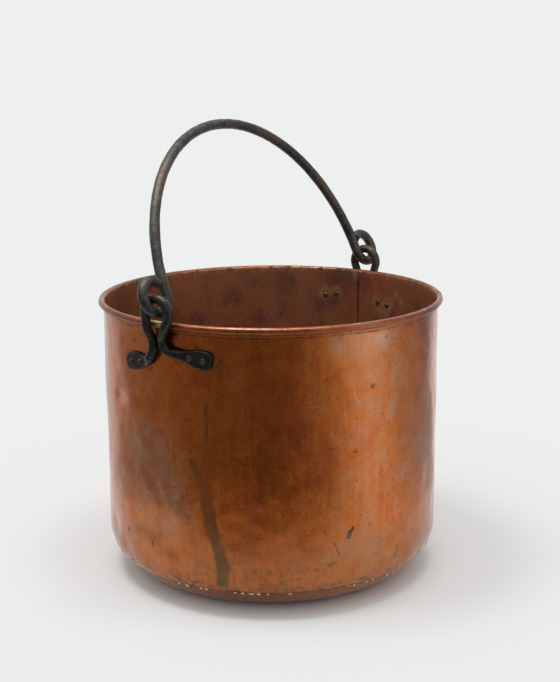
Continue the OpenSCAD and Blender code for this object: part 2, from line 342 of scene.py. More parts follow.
class Copper(Shade):
    """Aged copper, with marks that are placed on the wall by azimuth and height."""

    def __init__(self):
        super().__init__("aged_copper")
        self.inside = self.field("inside")
        self.outside = self.minus(1.0, self.inside)
        self.bead = self.field("bead")
        self.large = self.noise(9, 5, 0.6)
        self.middle = self.noise(45, 6, 0.62, twist=0.4)
        self.fine = self.noise(240, 5, 0.6)
        self.streak = self.noise(260, 3, 0.5, self.stretched(1, 1, 0.07))
        self.ragged = self.span(self.noise(170, 5, 0.65), 0.2, 0.8, -0.5, 0.5)
        self.round_at, self.high_at = self.wall_place()
        self.wall_at = self.get(0, "ShaderNodeCombineXYZ", dict(X=self.round_at, Y=self.high_at))

    def wall_place(self):
        """Distance round the wall and height, both wavy, so that marks have uneven edges."""
        split = self.node("ShaderNodeSeparateXYZ")
        self.put(split, {0: self.at})
        x, y = (self.times(split.outputs[axis], -1.0) for axis in "XY")
        turned = self.total(self.math("ARCTAN2", y, x), math.pi)
        aside = self.noise(150, 5, 0.7, self.shifted(8.1))
        upward = self.noise(170, 5, 0.7, self.shifted(6.3))
        round_at = self.total(self.times(turned, WALL_R), self.span(aside, 0.25, 0.75, -0.0014, 0.0014))
        high_at = self.total(split.outputs["Z"], self.span(upward, 0.25, 0.75, -0.0012, 0.0012))
        return round_at, high_at

    def disc(self, degrees, height, radius):
        """1 within a radius of a place on the wall."""
        inputs = {0: self.wall_at, 1: (way_round(degrees), height, 0)}
        away = self.get("Value", "ShaderNodeVectorMath", inputs, operation="DISTANCE")
        return self.span(away, radius * 0.4, radius * 1.5, 1.0, 0.0)

    def discs(self, places, side):
        return self.times(self.most([self.disc(a, height * MM, r * MM) for a, height, r in places]), side)

    def rising(self, places, soft):
        """1 on a line that climbs the wall."""
        marks = [(height * MM, way_round(a), half * MM) for a, height, half in places]
        return self.times(self.stream(self.high_at, self.round_at, marks, soft), self.outside)

    def level(self, places, soft):
        """1 on a line that goes round the wall."""
        marks = [(way_round(a), height * MM, half * MM) for a, height, half in places]
        return self.times(self.stream(self.round_at, self.high_at, marks, soft), self.outside)

    def hairlines(self, steep, flat):
        """1 on fine lines."""
        drawn = [self.rising(line, 0.0005) for line in steep]
        return self.most(drawn + [self.level(line, 0.0005) for line in flat])

    def patch(self, name):
        """A stored mask with its edge broken up."""
        mask = self.field(name)
        broken = self.times(self.ragged, self.span(mask, 0.02, 0.3))
        return self.span(self.total(mask, broken), 0.15, 0.95)

    def freckles(self, scale, shift, size, where, low, high):
        """Small round spots in parts of the surface."""
        far = self.cells(scale, self.stretched(1, 1, 0.8, shift))
        there = self.noise(where, 3, 0.6, self.shifted(shift + 1))
        return self.times(self.span(far, size * 0.5, size, 1.0, 0.0), self.span(there, low, high))

    def ground(self):
        """The sheet's colour: brown oxide over orange metal, redder inside and on the rim, with painted
        reflection and shade in its tone.
        """
        hue = self.noise(24, 5, 0.65, self.stretched(1, 1, 0.6, 4.4))
        tone = self.total(
            self.field("tone"),
            self.span(self.large, 0.25, 0.75, -0.12, 0.12),
            self.span(self.middle, 0.25, 0.75, -0.17, 0.17),
            self.span(self.streak, 0.3, 0.7, -0.06, 0.06),
            self.span(self.fine, 0.3, 0.7, -0.05, 0.05),
        )
        self.colour = self.ramp(tone, OUTER)
        self.paint(self.span(hue, 0.52, 0.66), 0.35, (0.36, 0.060, 0.022))
        self.paint(self.bead, 0.85, self.ramp(tone, RIM))
        blotch = self.total(
            self.span(self.large, 0.2, 0.8, 0.0, 0.5),
            self.span(self.middle, 0.25, 0.75, 0.0, 0.3),
            self.span(hue, 0.3, 0.7, 0.0, 0.2),
        )
        self.colour = self.mix(self.inside, self.colour, self.ramp(blotch, INNER))

    def speckle(self):
        """Paints dark clouds, freckles, spots and painted shadow rings round the inner rivets, and gives
        the mask of the spots.
        """
        cloud = self.noise(70, 4, 0.7, self.stretched(1, 1, 0.7, 3.1))
        self.paint(self.span(cloud, 0.58, 0.72), 0.30, (0.13, 0.035, 0.016))
        self.paint(self.freckles(115, 7.7, 0.19, 26, 0.48, 0.62), 0.55, (0.110, 0.034, 0.018))
        self.paint(self.freckles(240, 2.9, 0.23, 40, 0.45, 0.58), 0.52, (0.120, 0.038, 0.020))
        self.paint(self.disc(*BRASS_SPOT), self.bead, (0.80, 0.62, 0.30))
        olive = self.span(self.noise(17, 5, 0.65, self.shifted(9.4)), 0.50, 0.64)
        self.paint(self.times(olive, self.inside), 0.45, (0.17, 0.115, 0.072))
        spots = self.discs(DARK_SPOTS, self.outside)
        self.paint(spots, 0.66, (0.105, 0.036, 0.026))
        # Painted shadow rings round the inner rivet heads
        self.paint(self.discs(RIVET_SHADOW_RINGS, self.inside), 0.7, (0.040, 0.022, 0.014))
        return spots

    def stain(self):
        """Paints stains and fine lines, painted highlights, a painted floor reflection low on the wall
        and painted shade, and gives the mask of the dull stains.
        """
        # Bare and polished places, painted highlights and the painted reflection strip
        self.paint(self.patch("pale"), 0.5, (0.62, 0.37, 0.24))
        self.paint(self.hairlines(STEEP_SCRATCHES, LEVEL_SCRATCHES), 0.55, srgb(164, 146, 116))
        self.paint(self.patch("violet"), 0.5, (0.105, 0.062, 0.082))
        # Painted reflection of the floor: a greyer haze low on the wall outside
        low = self.times(self.span(self.high_at, 0.100, 0.050), self.outside)
        self.paint(low, self.span(self.large, 0.3, 0.7, 0.18, 0.38), (0.17, 0.145, 0.085))
        run = self.most([self.rising(MAIN_DRIP, 0.0042), self.rising(SMALL_DRIP, 0.0018)])
        up = self.total(self.high_at, self.span(self.middle, 0.2, 0.8, -0.03, 0.03))
        run_colour = self.mix(self.span(up, 0.050, 0.105), srgb(82, 76, 50), srgb(90, 54, 24))
        self.paint(run, self.span(self.middle, 0.3, 0.6, 0.54, 0.84), run_colour)
        green = self.patch("green")
        self.paint(green, 0.72, (0.080, 0.092, 0.052))
        spot = self.rising(GREEN_SPOT, 0.0014)
        self.paint(spot, 0.75, srgb(74, 80, 58))
        self.paint(self.rising(GREEN_CORE, 0.0008), 0.8, srgb(34, 36, 34))
        # Painted shade in creases
        self.paint(self.hairlines(STEEP_SHADED_CREASES, LEVEL_SHADED_CREASES), 0.6, (0.080, 0.030, 0.018))
        # Dirt and painted shade: seam, feet, under the rim, groove above the lip, by the near ear, inner
        # lap's edge
        self.paint(self.patch("grime_and_shade"), 0.72, (0.050, 0.026, 0.014))
        return self.most([run, green, spot])


def copper_material():
    """Old polished copper, duller inside, on the bead and where it is stained."""
    shade = Copper()
    shade.ground()
    spots = shade.speckle()
    dull = shade.most([shade.stain(), shade.times(spots, 0.6)])
    rough = shade.total(
        shade.span(shade.middle, 0.25, 0.75, 0.15, 0.27),
        shade.span(shade.fine, 0.3, 0.7, -0.04, 0.04),
        shade.times(shade.inside, 0.2),
        shade.times(dull, 0.25),
        shade.times(shade.bead, 0.20),
    )
    metal = shade.minus(shade.minus(0.94, shade.times(dull, 0.2)), shade.times(shade.inside, 0.35))
    coat = shade.minus(0.36, shade.times(dull, 0.3))
    height = shade.total(shade.fine, shade.times(shade.middle, 1.6), shade.times(shade.streak, 0.6))
    shade.bump(height, 0.22, 0.0004)
    return shade.done(Roughness=rough, Metallic=metal, Coat_Weight=coat, Coat_Roughness=0.09)


IRON = [
    (0.1, srgb(50, 49, 47)),
    (0.4, srgb(74, 71, 66)),
    (0.6, srgb(94, 87, 79)),
    (0.78, srgb(98, 76, 64)),
    (0.95, srgb(112, 82, 64)),
]


def iron_material():
    """Dark forged iron with brown rust in its hollows, and bare edges that carry painted glints; painted
    shade darkens the near side.
    """
    shade = Shade("forged_iron")
    broad = shade.noise(28, 5, 0.6)
    middle = shade.noise(120, 5, 0.65)
    fine = shade.noise(520, 4, 0.6)
    blend = shade.span(broad, 0.25, 0.75, 0.0, 0.55)
    blend = shade.total(blend, shade.span(middle, 0.25, 0.75, 0.0, 0.45))
    shade.colour = shade.ramp(blend, IRON)
    rust = shade.span(shade.noise(75, 5, 0.7, shade.shifted(5.0)), 0.56, 0.68)
    shade.paint(rust, 0.55, srgb(92, 52, 38))
    # The iron's own blackness, with painted shade on the near side and below the rim
    dark = shade.field("dark")
    shade.paint(dark, 0.86, srgb(11, 14, 15))
    # Pale on sharp edges: bare worn edges with painted glints
    edge = shade.total(shade.field("edge"), shade.span(middle, 0.2, 0.8, -0.2, 0.2))
    shade.paint(shade.span(edge, 0.45, 0.9), 0.5, srgb(150, 142, 132))
    rough = shade.total(shade.span(middle, 0.25, 0.75, 0.38, 0.58), shade.times(rust, 0.15))
    rough = shade.minus(rough, shade.times(dark, 0.20))
    shade.bump(shade.total(fine, shade.times(middle, 2.2)), 0.5, 0.0004)
    return shade.done(Roughness=rough, Metallic=0.55)


RIVET = [
    (0.3, srgb(26, 24, 18)),
    (0.45, srgb(70, 62, 40)),
    (0.56, srgb(98, 94, 66)),
    (0.70, srgb(150, 136, 100)),
]


def rivet_material():
    """Tarnished copper rivets with a little green round the head."""
    shade = Shade("tarnished_rivet")
    middle = shade.noise(420, 4, 0.6)
    shade.colour = shade.ramp(middle, RIVET)
    # Painted shade: darker on the near ear's rivets
    shade.paint(shade.field("dark"), 0.75, srgb(34, 28, 24))
    shade.bump(shade.noise(900, 4, 0.6), 0.4, 0.0003)
    return shade.done(Roughness=shade.span(middle, 0.3, 0.7, 0.4, 0.6), Metallic=0.75)


def solder_material():
    """Dark tarnished solder with pale bare flecks."""
    shade = Shade("seam_solder")
    middle = shade.noise(300, 4, 0.6)
    dark = [(0.35, srgb(58, 42, 28)), (0.55, srgb(84, 72, 44)), (0.7, srgb(72, 78, 56))]
    bright = [(0.3, srgb(176, 170, 148)), (0.5, srgb(214, 208, 188)), (0.7, srgb(196, 186, 156))]
    bare = shade.span(shade.field("pale"), 0.4, 0.6)
    shade.colour = shade.mix(bare, shade.ramp(middle, dark), shade.ramp(middle, bright))
    shade.bump(middle, 0.4, 0.0003)
    return shade.done(Roughness=0.6, Metallic=0.25)


def wire_material():
    shade = Shade("bare_wire")
    middle = shade.noise(200, 4, 0.6)
    shade.colour = shade.ramp(middle, [(0.35, srgb(84, 80, 76)), (0.65, srgb(132, 126, 118))])
    return shade.done(Roughness=0.5, Metallic=0.8)


# Meshes


def add_object(name, mesh):
    made = bpy.data.objects.new(name, mesh)
    bpy.context.scene.collection.objects.link(made)
    mesh.shade_smooth()
    return made


def store(mesh, **fields):
    """Stores a value on each point of a mesh, for its material."""
    for name, values in fields.items():
        spot = mesh.attributes.new(name, "FLOAT", "POINT")
        spot.data.foreach_set("value", np.asarray(values, np.float32).ravel())


def grid_mesh(name, places):
    """A mesh from places[i, j]; both directions close on themselves."""
    ids = np.arange(places.shape[0] * places.shape[1]).reshape(places.shape[:2])
    above = np.roll(ids, -1, axis=0)
    quads = np.stack([ids, np.roll(ids, -1, axis=1), np.roll(above, -1, axis=1), above], -1)
    mesh = bpy.data.meshes.new(name)
    mesh.from_pydata(places.reshape(-1, 3).tolist(), [], quads.reshape(-1, 4).tolist())
    mesh.update()
    return mesh


def mend(mesh, merge=0.0, outward=False):
    """Merges points that lie together, and turns the faces outward."""
    work = bmesh.new()
    work.from_mesh(mesh)
    if merge:
        bmesh.ops.remove_doubles(work, verts=work.verts, dist=merge)
    if outward:
        bmesh.ops.recalc_face_normals(work, faces=work.faces)
    work.to_mesh(mesh)
    work.free()


def read(values, name):
    flat = np.empty(len(values) * 3, np.float32)
    values.foreach_get(name, flat)
    return flat.reshape(-1, 3).astype(float)


def read_points(mesh):
    return read(mesh.vertices, "co")


def read_normals(mesh):
    return read(mesh.vertex_normals, "vector")


def write_points(mesh, points):
    mesh.vertices.foreach_set("co", np.asarray(points, np.float32).ravel())
    mesh.update()


# The pot's wall

# Dents: azimuth in degrees, height, half width round the wall, half height, depth
DENTS = [
    (155, 206, 12, 7, 1.6), (162, 222, 20, 14, 0.6), (147, 62, 12, 10, 1.6), (157, 46, 11, 9, 1.4),
    (168, 80, 16, 12, 1), (172, 44, 10, 8, 1.2), (-178, 62, 12, 10, 0.8), (-67, 74, 11, 12, 1.4),
    (-79, 110, 12, 14, 1), (-103, 60, 11, 8, 1.4), (-96, 42, 10, 8, 1.4), (-116, 40, 14, 6, 1),
    (-128, 150, 20, 26, 0.5), (-150, 95, 24, 20, 0.6), (-92, 180, 16, 22, 0.7), (60, 120, 22, 30, 1),
    (20, 60, 18, 16, 1.2), (100, 210, 24, 20, 0.8), (-30, 160, 20, 26, 0.8),
]


def round_distance(azimuth, degrees):
    """Distance along the wall from a place, in metres."""
    gap = (np.degrees(azimuth) - degrees + 180) % 360 - 180
    return np.radians(gap) * WALL_R


def wall_waves(azimuth, height, size, seed):
    """The random field at places on the wall."""
    points = np.stack([WALL_R * np.cos(azimuth), WALL_R * np.sin(azimuth), height], -1)
    return waves(points.reshape(-1, 3), size, seed).reshape(azimuth.shape)


def dent_depth(azimuth, height):
    """How far the sheet is out of true, outward positive."""
    out = 0.00022 * wall_waves(azimuth, height, 0.07, 11)
    out = out + 0.00007 * wall_waves(azimuth, height, 0.024, 12)
    for degrees, *sizes in DENTS:
        level, half_w, half_h, depth = (size * MM for size in sizes)
        away = (round_distance(azimuth, degrees) / half_w) ** 2 + ((height - level) / half_h) ** 2
        out = out - depth * np.exp(-away)
    below_rim = smooth((LIP_LOW - 0.004 - height) / 0.02)
    above_floor = smooth((height - 0.004) / 0.012)
    near_ear = np.zeros_like(out)
    for degrees in (0, 180):
        beside = smooth((0.072 - np.abs(round_distance(azimuth, degrees))) / 0.014)
        near_ear = np.maximum(near_ear, beside * smooth((height - RIM_TOP + 0.072) / 0.014))
    return out * below_rim * above_floor * (1 - near_ear)


def corner(angle, skin):
    """Radius and height on the curve between base and wall; skin is the way outward."""
    return BASE_R + (CORNER_A + skin) * np.cos(angle), CORNER_H - (CORNER_H + skin) * np.sin(angle)


def corner_angle(height):
    return math.asin((CORNER_H - height) / CORNER_H)


SEAM_ANGLE = corner_angle(SEAM_H)
LAP_ANGLE = corner_angle(SEAM_H + PAN_LAP)


class Profile:
    """Points of a section, each with its way outward and whether it is inside."""

    def __init__(self):
        self.rows = []

    def add(self, radius, height, out_r=1.0, out_z=0.0, inside=0.0, bead=0.0):
        self.rows.append((radius, height, out_r, out_z, inside, bead))

    def corner(self, angles, skin, inside):
        for angle in angles:
            radius, height = corner(angle, skin)
            out = Vector((math.cos(angle) / CORNER_A, -math.sin(angle) / CORNER_H)).normalized()
            self.add(radius, height, out.x, out.y, inside)

    def columns(self):
        return np.array(self.rows).T[:, :, None]


# The tucked lip's outline: mm out from the wall and up from the lip's edge
LIP = [(0, 0.2), (0.3, 0), (1.1, 0), (1.4, 0.2), (1.5, 0.6), (1.5, 1.4), (1.5, 2.1)]


def wall_profile():
    """The wall's section: up the outside, round the bead and down the inside."""
    line = Profile()
    line.corner(np.linspace(SEAM_ANGLE, 0, 24), SHEET, 0)
    for height in np.linspace(CORNER_H, LIP_LOW - 0.0003, 76)[1:]:
        line.add(WALL_R, height)
    for out, up in LIP:
        line.add(WALL_R + out * MM, LIP_LOW + up * MM, bead=0.5)
    for angle in np.radians(np.linspace(-95, 180, 28)):
        radius = BEAD_MID[0] + BEAD_R * math.cos(angle)
        inside = 1.0 if angle > math.radians(140) else 0.0
        line.add(radius, BEAD_MID[1] + BEAD_R * math.sin(angle), inside=inside, bead=1.0)
    for height in np.linspace(BEAD_MID[1], CORNER_H, 48)[1:]:
        line.add(WALL_R - SHEET, height, inside=1)
    line.corner(np.linspace(0, SEAM_ANGLE, 12)[1:], 0, 1)
    return line.columns()


def wall_columns():
    """Azimuths of the wall's columns, with doubled ones at the edges of the side lap."""
    even = np.arange(WALL_COLUMNS) * TURN / WALL_COLUMNS
    edges = [0.0, SIDE_LAP / WALL_R]
    close = 0.0002
    even = [a for a in even if all(abs(a - e) > 2 * close for e in edges)]
    doubled = [e + way * close for e in edges for way in (-1, 1)]
    return np.sort(np.array(even + doubled) % TURN)[None, :]


def capsule(azimuth, height, places, radius, soft):
    """1 near a line through places, given as azimuth in degrees and height, else 0."""
    best = np.ones_like(azimuth)
    for (a0, h0), (a1, h1) in zip(places, places[1:]):
        s0 = round_distance(azimuth, a0)
        run = math.radians(a1 - a0) * WALL_R
        rise = h1 - h0
        share = np.clip((s0 * run + (height - h0) * rise) / max(run**2 + rise**2, 1e-12), 0, 1)
        best = np.minimum(best, np.hypot(s0 - share * run, height - h0 - share * rise))
    return 1 - smooth((best - radius) / soft)


# Main tone by azimuth in degrees: 0 is deep brown and 1 is pale; patina with painted reflection, darkest
# facing the camera
TONES_AND_REFLECTION = [
    (-180, 0.42), (-172, 0.36), (-160, 0.26), (-148, 0.22), (-138, 0.28),
    (-126, 0.44), (-112, 0.62), (-98, 0.56), (-80, 0.5), (-40, 0.4),
    (0, 0.42), (60, 0.38), (120, 0.42), (150, 0.5), (170, 0.46),
    (180, 0.42),
]

# Painted reflection, patches of other tone: share, line of azimuths and heights, radius and softness, in
# metres
REFLECTION_PATCHES = [
    (0.36, [(172, 0.155), (177, 0.115)], 0.016, 0.045),
    (0.16, [(-79, 0.200), (-79, 0.120)], 0.004, 0.030),
    (-0.45, [(-80, 0.250), (-80, 0.290)], 0.012, 0.020),
]

# Marks inside: azimuth in degrees, height and radius
INNER_SMEARS = [
    (-18.9, 270, 4), (-21.9, 262, 3), (-13, 248, 6), (-10, 249, 4),
]
INNER_BLOTCHES = [
    (16.8, 247, 4), (11, 252, 3), (49.8, 258, 4), (54.2, 252, 3),
    (40.3, 228, 4), (66, 232, 6), (-33.5, 262, 4),
]
# Where the ears' feet lie on the wall: azimuths in degrees and heights in metres
FEET = [
    [(-173.5, RIM_TOP - 0.030), (-162.3, RIM_TOP - 0.034)],
    [(174.5, RIM_TOP - 0.041), (163.9, RIM_TOP - 0.045)],
    [(-8.5, RIM_TOP - 0.034), (-17.0, RIM_TOP - 0.037)],
    [(8.5, RIM_TOP - 0.030), (17.0, RIM_TOP - 0.033)],
]


class Places:
    """Places on the copper, and masks over them."""

    def __init__(self, azimuth, height, inside, bead):
        self.azimuth = azimuth
        self.height = height
        self.degrees = (np.degrees(azimuth) + 180) % 360 - 180
        self.inside = inside
        self.outside = 1 - inside
        self.off_bead = 1 - bead
        self.flat = 1 - np.clip(2 * bead, 0, 1)
        self.roll = np.clip(2 * bead - 1, 0, 1)
        self.seam = self.ring(SEAM_H + 0.0005, 0.0022, 0.002)
        self.far_roll = self.sector(20, 95, 25) * smooth(0.6 + 0.7 * self.waves(0.018, 63))

    def line(self, places, radius, soft):
        return capsule(self.azimuth, self.height, places, radius, soft)

    def spot(self, degrees, level, radius, soft):
        return self.line([(degrees, level), (degrees + 0.01, level)], radius, soft)

    def spots(self, places, soft):
        return np.max([self.spot(a, level * MM, r * MM, soft) for a, level, r in places], axis=0)

    def sector(self, degrees, half, soft):
        """1 within some degrees of an azimuth."""
        gap = np.abs((self.degrees - degrees + 180) % 360 - 180)
        return smooth((half - gap) / soft)

    def ring(self, level, half, soft):
        """1 within a distance of a height."""
        return smooth((half - np.abs(self.height - level)) / soft)

    def waves(self, size, seed):
        return wall_waves(self.azimuth, self.height, size, seed)

    def most(self, outside, inside, roll):
        """The strongest of the masks, each kept to its side of the sheet."""
        sides = ((outside, self.outside), (inside, self.inside), (roll, self.roll))
        return np.max([np.max(masks, axis=0) * side for masks, side in sides], axis=0)


# The edge of the painted reflection strip at the left: heights in metres, and azimuths in degrees
STRIP_HEIGHTS = (0.071, 0.167, 0.206, 0.273)
STRIP_EDGE = (178, 170, 162, 150.6)


def left_reflection_strip(on):
    """The painted reflection strip, and the painted darker metal beside the sharp part of its edge."""
    full = on.azimuth * 360 / TURN % 360
    edge = np.interp(on.height, STRIP_HEIGHTS, STRIP_EDGE)
    sharp = smooth((on.height - 0.175) / 0.03)
    strip = smooth(0.5 + (edge - full) / (14 - 12.8 * sharp)) * (full > 90) * (full < 190)
    beside = sharp * (1 - strip) * smooth((edge + 16 - full) / 8) * (full > 90)
    return (0.12 + 0.24 * sharp) * strip * smooth((full - 118) / 36), beside


def tone_and_reflection_mask(on):
    # Patina tone by azimuth, with painted reflection
    tone = np.interp(on.degrees, *zip(*TONES_AND_REFLECTION))
    # Painted highlight: a pale band just under the rim on the right
    tone = tone + 0.3 * on.line([(-124, 0.272), (-106, 0.273)], 0.002, 0.024) * on.outside * on.off_bead
    # Painted reflection: paler and darker patches
    for share, places, radius, soft in REFLECTION_PATCHES:
        tone = tone + share * on.line(places, radius, soft) * on.outside
    # Painted reflection: darker beside the sharp edge of the left strip
    tone = tone - 0.22 * left_reflection_strip(on)[1] * on.outside
    # Painted shade: darker below the rim on the near left, by the near ear
    near_top = smooth((on.height - RIM_TOP + 0.05) / 0.03) * on.off_bead
    return tone - 0.10 * near_top * smooth((-130 - on.degrees) / 20)


def pale_and_highlight_mask(on):
    """Bare and polished places, with painted highlights and the painted reflection strip."""
    worn = wall_waves(on.azimuth, 0 * on.height, 0.03, 61)
    worn = np.clip(0.22 + 0.35 * worn + 0.35 * on.sector(-152, 12, 4), 0, 1)
    outside = [
        # Painted highlight: a pale line just under the rim on the right
        0.55 * on.line([(-112, 0.276), (-106, 0.276)], 0.001, 0.006) * on.flat,
        0.35 * on.spot(-154.9, 0.054, 0.002, 0.004) * on.flat,
        # Painted reflection: the pale strip at the left
        left_reflection_strip(on)[0] * on.flat,
    ]
    inside = [0.75 * on.spots(INNER_HALOS + INNER_SMEARS, 0.004)]
    # Wear and painted highlight: a pale line along the top of the bead, strongest near azimuth -152
    roll = [np.exp(-(((on.height - RIM_TOP + 0.0004) / 0.0006) ** 2)) * worn]
    return on.most(outside, inside, roll)


def green_mask(on):
    """Green and olive tarnish, mostly at the seam and at the far rim."""
    patchy = smooth(0.5 + on.waves(0.02, 62))
    top = 0.9 * smooth((on.height - RIM_TOP + 0.013) / 0.006) * patchy
    outside = [
        0.45 * on.spot(-125.5, 0.055, 0.002, 0.004),
        0.32 * on.sector(-148, 34, 16) * smooth((0.082 - on.height) / 0.035),
        0.55 * on.ring(SEAM_H + 0.0050, 0.0050, 0.004) * smooth(0.3 + on.waves(0.016, 22)),
        0.6 * on.seam * smooth(on.waves(0.03, 21)),
    ]
    inside = [
        top * on.sector(6, 9, 4),
        top * on.sector(104, 9, 4),
        0.9 * on.spot(2.4, 0.280, 0.004, 0.006),
    ]
    return on.most(outside, inside, [0.5 * on.far_roll, 0.8 * on.sector(6, 10, 4) * patchy])


def grime_and_shade_mask(on):
    """Dirt and painted shadow in the seam; painted shade round the feet, under the rim, in the groove
    above the lip, by the near ear and along the inner lap's edge.
    """
    under_rim = smooth((0.0035 - (LIP_LOW - on.height)) / 0.003) * on.flat
    lap_edge = np.abs(round_distance(on.azimuth, 0.0)) < 0.0009
    outside = [
        # Dirt and painted shadow in the seam
        0.55 * on.seam,
        # Darker low on the wall at the near left
        0.35 * on.sector(176, 25, 12) * smooth((0.05 - on.height) / 0.015),
        # Painted shadow of the near ear just below the rim
        0.8 * on.spot(-174.5, 0.277, 0.002, 0.003) * on.flat,
        # Painted shade under the rim
        0.75 * under_rim * (on.height < LIP_LOW + 0.001),
        # Painted shade in the groove above the lip
        0.8 * np.exp(-(((on.height - (LIP_LOW + LIP_H)) / 0.0007) ** 2)) * (1 - on.flat),
    ]
    # Painted shade round the ears' feet
    outside += [0.45 * on.line(places, 0.0088, 0.003) for places in FEET]
    # Painted shadow along the edge of the inner side lap
    inside = [0.8 * lap_edge * on.flat * smooth((on.height - 0.215) / 0.02)]
    return on.most(outside, inside, [0.4 * on.far_roll])


def wall_fields(azimuth, height, inside, bead):
    """The masks that the copper's material reads."""
    on = Places(azimuth, height, inside, bead)
    violet = 0.8 * on.spots(INNER_BLOTCHES, 0.012) * inside
    masks = dict(tone=tone_and_reflection_mask(on), violet=violet, pale=pale_and_highlight_mask(on))
    return dict(**masks, green=green_mask(on), grime_and_shade=grime_and_shade_mask(on), inside=inside, bead=bead)


def make_wall():
    grid = np.broadcast_arrays(wall_columns(), *wall_profile())
    azimuth, radius, height, out_r, out_z, inside, bead = grid
    depth = dent_depth(azimuth, height)
    hammered = 0.00007 * wall_waves(azimuth, height, 0.02, 31)
    hammered = hammered + 0.00004 * wall_waves(azimuth, height, 0.007, 32)
    depth = depth + (hammered - 0.0001) * bead
    uneven = 0.0002 * wall_waves(azimuth, height, 0.05, 33)
    lap = (azimuth > 0) & (azimuth < SIDE_LAP / WALL_R) & (inside > 0.5) & (bead < 0.5)
    lap = lap & (height > SEAM_H + PAN_LAP)
    r = radius + depth * out_r - SHEET * lap
    z = height + depth * out_z + uneven * (bead == 0.5)
    places = np.stack([r * np.cos(azimuth), r * np.sin(azimuth), z], -1)
    mesh = grid_mesh("copper_wall", places)
    store(mesh, **wall_fields(azimuth, height, inside, bead))
    return add_object("copper_wall", mesh)


def make_base():
    """The base pan: its outside, its flat and its inside, closed at the lap."""
    line = Profile()
    flat = np.linspace(1, 0, 16)[1:]
    under_lap = np.linspace(LAP_ANGLE, SEAM_ANGLE, 5)
    outer = np.concatenate([under_lap, np.linspace(SEAM_ANGLE, math.pi / 2, 30)[1:]])
    line.corner(outer, -0.00003, 0)
    for share in flat:
        line.add(BASE_R * share, 0.00003, 0, -1)
    for share in flat[::-1]:
        line.add(BASE_R * share, SHEET, 0, -1, inside=1)
    line.corner(outer[::-1], -SHEET, 1)
    columns = np.arange(BASE_COLUMNS)[None, :] * TURN / BASE_COLUMNS
    grid = np.broadcast_arrays(columns, *line.columns())
    azimuth, radius, height, out_r, out_z, inside, bead = grid
    depth = dent_depth(azimuth, height)
    r = radius + depth * out_r
    z = height + depth * out_z * smooth((height - 0.002) / 0.01)
    places = np.stack([r * np.cos(azimuth), r * np.sin(azimuth), z], -1)
    mesh = grid_mesh("copper_base", places[::-1])
    fields = wall_fields(azimuth, height, inside, bead)
    fields["tone"] = fields["tone"] - 0.04
    # Darker towards the bottom of the pan
    darker_low = 0.3 * smooth((0.012 - height) / 0.01) * (1 - inside)
    fields["grime_and_shade"] = np.maximum(fields["grime_and_shade"], darker_low)
    store(mesh, **{name: values[::-1] for name, values in fields.items()})
    mend(mesh, merge=1e-7, outward=True)
    return add_object("copper_base", mesh)


# Pale flecks in the base seam: azimuth in degrees and length
FLECKS = [
    (-177.8, 2.4), (-174.4, 4.6), (-168.9, 3.4), (-167, 4.2), (-156.7, 2.8),
    (-154.2, 3.6), (-151.2, 6), (-148.8, 4), (-145.8, 2.2), (-138.4, 5),
    (-117.4, 4.4), (-115.6, 2.6), (-110.4, 3.6), (-107.6, 2.8), (-101, 3),
    (-98, 2.4), (30, 3.4), (52, 2.6), (88, 4), (131, 3),
]


def make_solder():
    """A thin uneven fillet under the wall's edge, with thicker pale beads on it."""
    columns, sides = SOLDER_COLUMNS, 8
    azimuth = np.arange(columns)[:, None] * TURN / columns
    around = np.arange(sides)[None, :] * TURN / sides
    size = 0.00065 + 0.00018 * wall_waves(azimuth, 0 * azimuth, 0.012, 41)
    bare = np.zeros((columns, 1))
    for degrees, length in FLECKS:
        away = np.abs(round_distance(azimuth, degrees)) / (length * MM / 2)
        bead = np.exp(-(away**4))
        size = size + 0.0007 * bead
        bare = np.maximum(bare, bead)
    angle = SEAM_ANGLE + 0.0008 / CORNER_A
    radius, height = corner(angle, 0.0002)
    depth = dent_depth(azimuth, height + 0 * azimuth)
    r = radius + depth + size * np.cos(around)
    z = height + 1.3 * size * np.sin(around)
    places = np.stack([r * np.cos(azimuth), r * np.sin(azimuth), z], -1).transpose(1, 0, 2)
    mesh = grid_mesh("seam_solder", places[::-1])
    store(mesh, pale=np.broadcast_to(bare, (columns, sides)).T[::-1])
    return add_object("seam_solder", mesh)


# Forged pieces


def forged_copy(node, name, voxel, smoothing, marks, fine):
    """A CAD node's form with its facets smoothed away and shallow hammer marks."""
    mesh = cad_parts[node].data.copy()
    mesh.name = name
    mend(mesh, merge=1e-6)
    piece = add_object(name, mesh)
    remesh = piece.modifiers.new("remesh", "REMESH")
    remesh.mode = "VOXEL"
    remesh.voxel_size = voxel
    relax = piece.modifiers.new("relax", "SMOOTH")
    relax.factor = 0.5
    relax.iterations = smoothing
    ready = bpy.data.meshes.new_from_object(piece.evaluated_get(bpy.context.evaluated_depsgraph_get()))
    piece.modifiers.clear()
    piece.data = ready
    ready.name = name
    bpy.data.meshes.remove(mesh)
    points = read_points(ready)
    normals = read_normals(ready)
    field = marks * waves(points, 0.016, 51) + fine * waves(points, 0.005, 52)
    points = points + normals * field[:, None]
    write_points(ready, points)
    store(ready, edge=sharpness(ready), dark=blackness_and_shade(points))
    ready.materials.clear()
    ready.shade_smooth()
    return piece


def on_left(points):
    """1 well to the left of the pot's middle, where the near ear is."""
    return smooth(-points[:, 0] / 0.05)


def blackness_and_shade(points):
    """Where the iron is blackest: on the feet, below the rim, and less on the bows; partly its own
    blackness, partly painted shade, most on the near ear.
    """
    below_rim = smooth((RIM_TOP - 0.004 - points[:, 2]) / 0.012)
    return 0.35 + 0.40 * on_left(points) + 0.25 * below_rim


